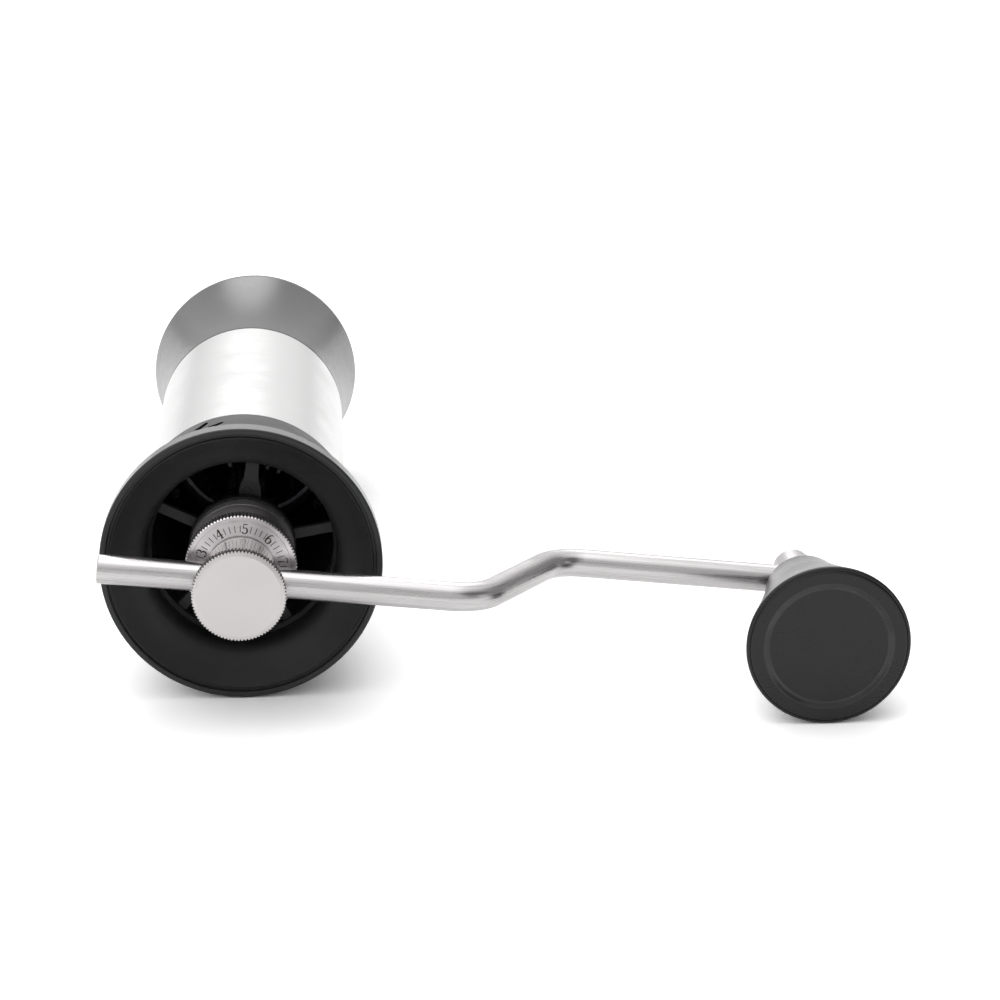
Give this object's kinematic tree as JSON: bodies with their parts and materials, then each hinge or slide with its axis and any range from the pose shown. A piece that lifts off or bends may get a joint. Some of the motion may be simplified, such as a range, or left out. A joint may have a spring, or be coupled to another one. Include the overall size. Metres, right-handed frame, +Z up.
{
  "type": "hand crank coffee grinder",
  "caption": "Manual conical burr coffee grinder: steel tube body, flared foot that is the catch cup, funnel top, numbered grind dial, and a bent rod crank with a flared knob.",
  "frame": {"origin": "centre of the foot's flat underside, on the axis of the body tube", "axes": "+Z up along the body tube from the foot to the crank end, +X along the crank at rest"},
  "size_m": [0.2204, 0.0776, 0.2342],
  "materials": {
    "brushed_tube": "fine circumferential brush, satin",
    "rod_steel": "satin drawn rod",
    "turned_dial": "face turned, satin",
    "turned_nut": "bead blasted matte",
    "bright_steel": "ground",
    "bearing_steel": "polished",
    "burr_steel": "hardened, milled",
    "spring_steel": "oil tempered",
    "dark_fastener": "black oxide",
    "cast_aluminium": "black anodised",
    "black_plastic": "fine moulded texture",
    "foot_plastic": "smooth satin",
    "knob_plastic": "fine moulded texture",
    "rubber": "matte",
    "bronze": "sintered"
  },
  "bodies": {
    "housing": {"body_tube": "brushed_tube", "collar": "black_plastic", "funnel": "black_plastic", "hopper_liner": "black_plastic", "bearing_spider": "black_plastic", "upper_bearing_outer_ring": "bearing_steel", "lower_bearing_outer_ring": "bearing_steel", "upper_bearing_circlip": "spring_steel", "lower_bearing_circlip": "spring_steel", "lower_bearing_bracket": "black_plastic", "bracket_screws": "dark_fastener", "burr_carrier": "cast_aluminium", "carrier_set_screws": "dark_fastener", "carrier_retaining_ring": "spring_steel", "outer_burr": "burr_steel"},
    "cup": {"catch_cup": "foot_plastic", "cup_seal_ring": "rubber", "foot_pad": "rubber"},
    "spin": {"upper_bearing_inner_ring": "bearing_steel", "upper_bearing_balls": "bearing_steel", "lower_bearing_inner_ring": "bearing_steel", "lower_bearing_balls": "bearing_steel", "spacer_sleeve": "bright_steel", "thrust_washer": "bright_steel"},
    "dial": {"adjustment_dial": "turned_dial", "dial_friction_ring": "rubber"},
    "crank": {"drive_shaft": "bright_steel", "crank_rod": "rod_steel", "knob_boss": "rod_steel", "knob_spindle": "bright_steel", "knob_thrust_washer": "bright_steel", "inner_burr": "burr_steel", "burr_key": "bright_steel", "burr_washer": "bright_steel", "burr_bolt": "dark_fastener", "preload_spring": "spring_steel"},
    "clamp": {"clamp_screw": "turned_nut"},
    "knob": {"knob_body": "knob_plastic", "knob_cap": "knob_plastic", "knob_bushings": "bronze"}
  },
  "joints": [
    {"name": "crank_spin", "type": "hinge", "parent": "housing", "child": "spin", "pos_m": [0, 0, 0.15], "axis": [0, 0, 1], "continuous": true},
    {"name": "dial_turn", "type": "hinge", "parent": "spin", "child": "dial", "pos_m": [0, 0, 0.2], "axis": [0, 0, 1], "range_deg": [-180, 180]},
    {"name": "burr_lift", "type": "slide", "parent": "spin", "child": "crank", "axis": [0, 0, 1], "range_m": [-0.0005, 0.0005], "deforming": ["preload_spring"]},
    {"name": "clamp_screw_turn", "type": "hinge", "parent": "crank", "child": "clamp", "pos_m": [0, 0, 0.226], "axis": [0, 0, 1], "range_deg": [0, 180]},
    {"name": "knob_spin", "type": "hinge", "parent": "crank", "child": "knob", "pos_m": [0.1592, 0, 0.21], "axis": [0, 0, 1], "continuous": true},
    {"name": "cup_pull", "type": "slide", "parent": "housing", "child": "cup", "axis": [0, 0, -1], "range_m": [0, 0.075]}
  ],
  "couplings": [
    {"joint": "dial_turn", "follows": "burr_lift", "rad_per_m": -6283.2}
  ]
}
